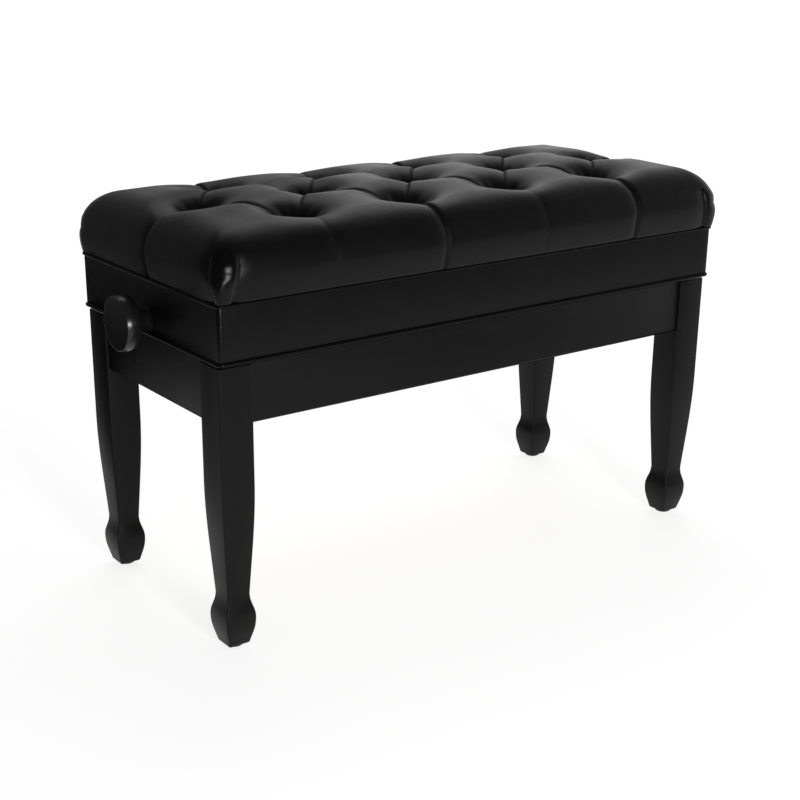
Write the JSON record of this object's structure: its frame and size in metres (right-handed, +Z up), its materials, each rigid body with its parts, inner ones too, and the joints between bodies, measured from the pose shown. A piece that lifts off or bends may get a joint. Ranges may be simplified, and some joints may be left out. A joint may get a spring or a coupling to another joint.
{
  "type": "piano bench",
  "caption": "Duet-size adjustable piano bench: diamond-tufted leather seat on a leather-wrapped box, raised by end knobs over a scissor lift, on tapered legs with spade feet.",
  "frame": {"origin": "on the floor, below the middle of the bench", "axes": "+Z up, +X along the bench towards the right-hand knob, +Y towards the piano's side; the player sits facing +Y"},
  "size_m": [0.836, 0.347, 0.4998],
  "materials": {
    "frame_wood": "black satin lacquer",
    "inner_wood": "bare hardwood",
    "plywood": "bare plywood",
    "leather": "black grained leather, satin",
    "knob": "black, semi-gloss",
    "black_steel": "black painted steel, satin",
    "zinc_steel": "zinc-plated steel",
    "brass": "machined brass",
    "nylon": "black nylon",
    "bumper": "grey translucent rubber"
  },
  "bodies": {
    "base": {"leg_front_left": "frame_wood", "leg_front_right": "frame_wood", "leg_back_left": "frame_wood", "leg_back_right": "frame_wood", "glide_front_left": "nylon", "glide_front_right": "nylon", "glide_back_left": "nylon", "glide_back_right": "nylon", "apron_front": "frame_wood", "apron_back": "frame_wood", "apron_left": "frame_wood", "apron_right": "frame_wood", "corner_block_front_left": "inner_wood", "corner_block_front_right": "inner_wood", "corner_block_back_left": "inner_wood", "corner_block_back_right": "inner_wood", "leg_bolt_front_left": "zinc_steel", "leg_bolt_front_right": "zinc_steel", "leg_bolt_back_left": "zinc_steel", "leg_bolt_back_right": "zinc_steel", "bumper_front_left": "bumper", "bumper_front_right": "bumper", "bumper_back_left": "bumper", "bumper_back_right": "bumper", "crossbar_left": "inner_wood", "crossbar_right": "inner_wood", "lower_rail_front": "black_steel", "lower_rail_back": "black_steel", "lower_pivot_rod": "zinc_steel"},
    "arm_a": {"arm_a_front": "black_steel", "arm_a_back": "black_steel", "centre_rod": "zinc_steel"},
    "arm_b": {"arm_b_front": "black_steel", "arm_b_back": "black_steel", "slide_rod": "zinc_steel"},
    "nut": {"trunnion_nut": "brass", "nut_rod_front": "zinc_steel", "nut_rod_back": "zinc_steel"},
    "seat": {"skirt_front": "frame_wood", "skirt_back": "frame_wood", "skirt_left": "frame_wood", "skirt_right": "frame_wood", "skirt_cover": "leather", "welt_bottom": "leather", "welt_top": "leather", "deck": "plywood", "cushion": "leather", "upper_rail_front": "black_steel", "upper_rail_back": "black_steel", "thrust_block": "black_steel", "thrust_rod_front": "zinc_steel", "thrust_rod_back": "zinc_steel", "screw_bushing_left": "nylon", "screw_bushing_right": "nylon"},
    "screw": {"lead_screw": "zinc_steel", "knob_left": "knob", "knob_right": "knob", "thrust_collar_left": "zinc_steel", "thrust_collar_right": "zinc_steel"}
  },
  "joints": [
    {"name": "scissor_fold", "type": "hinge", "parent": "base", "child": "arm_a", "pos_m": [-0.18, 0, 0.302], "axis": [0, -1, 0], "range_deg": [0, 15.05]},
    {"name": "scissor_centre", "type": "hinge", "parent": "arm_a", "child": "arm_b", "pos_m": [-0.00265, 0, 0.33275], "axis": [0, -1, 0], "range_deg": [-30.1, 0]},
    {"name": "seat_lift", "type": "hinge", "parent": "arm_b", "child": "seat", "pos_m": [-0.18, 0, 0.3635], "axis": [0, -1, 0], "range_deg": [0, 15.05]},
    {"name": "nut_pivot", "type": "hinge", "parent": "arm_a", "child": "nut", "pos_m": [0.17471, 0, 0.3635], "axis": [0, -1, 0], "range_deg": [-15.05, 0]},
    {"name": "knob_turn", "type": "hinge", "parent": "seat", "child": "screw", "pos_m": [0, 0, 0.3635], "axis": [1, 0, 0], "range_deg": [0, 2533]}
  ],
  "couplings": [
    {"joint": "scissor_centre", "follows": "scissor_fold", "ratio": -2},
    {"joint": "seat_lift", "follows": "scissor_fold", "ratio": 1},
    {"joint": "nut_pivot", "follows": "scissor_fold", "ratio": -1},
    {"joint": "knob_turn", "follows": "scissor_fold", "ratio": 168.3}
  ]
}
